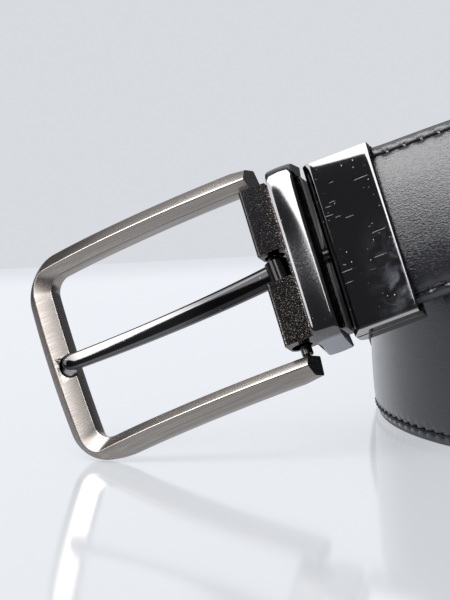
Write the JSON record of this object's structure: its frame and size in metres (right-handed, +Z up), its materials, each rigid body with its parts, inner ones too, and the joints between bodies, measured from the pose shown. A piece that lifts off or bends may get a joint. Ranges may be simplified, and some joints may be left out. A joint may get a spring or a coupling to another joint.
{
  "type": "reversible belt",
  "caption": "Leather dress belt rolled in a loose coil on its edge, with a brushed metal frame buckle, prong and keeper loop on a swivelling clamp.",
  "frame": {"origin": "centre of the bounding box's base, on the table that the belt lies on", "axes": "+X along the longest side, from the buckle towards the coil; +Y away from the camera, from the buckle's front towards the coil's back; +Z up"},
  "size_m": [0.265, 0.1966, 0.0813],
  "materials": {
    "strap_leather": "black fine-grained leather with a soft sheen, painted edges",
    "brushed_gunmetal": "brushed warm grey gunmetal plating",
    "polished_gunmetal": "polished dark gunmetal plating",
    "cast_gunmetal": "dark plating over a slightly rough casting",
    "steel": "dark plated steel"
  },
  "bodies": {
    "strap_end": {"strap": "strap_leather", "clamp_shell": "polished_gunmetal", "swivel_stem": "steel"},
    "swivel_block": {"hinge_block": "cast_gunmetal", "keeper_loop": "polished_gunmetal"},
    "frame": {"buckle_frame": "brushed_gunmetal", "axle_pin": "steel"},
    "tongue": {"prong": "polished_gunmetal"}
  },
  "joints": [
    {"name": "swivel_turn", "type": "hinge", "parent": "strap_end", "child": "swivel_block", "pos_m": [-0.07016, -0.04842, 0.04081], "axis": [0.927, -0.1846, 0.3266], "range_deg": [0, 180]},
    {"name": "frame_pivot", "type": "hinge", "parent": "swivel_block", "child": "frame", "pos_m": [-0.08055, -0.04549, 0.03675], "axis": [-0.2625, 0.4187, 0.8694], "range_deg": [-70, 10]},
    {"name": "prong_pivot", "type": "hinge", "parent": "frame", "child": "tongue", "pos_m": [-0.08055, -0.04549, 0.03675], "axis": [-0.2625, 0.4187, 0.8694], "range_deg": [0, 75]}
  ]
}
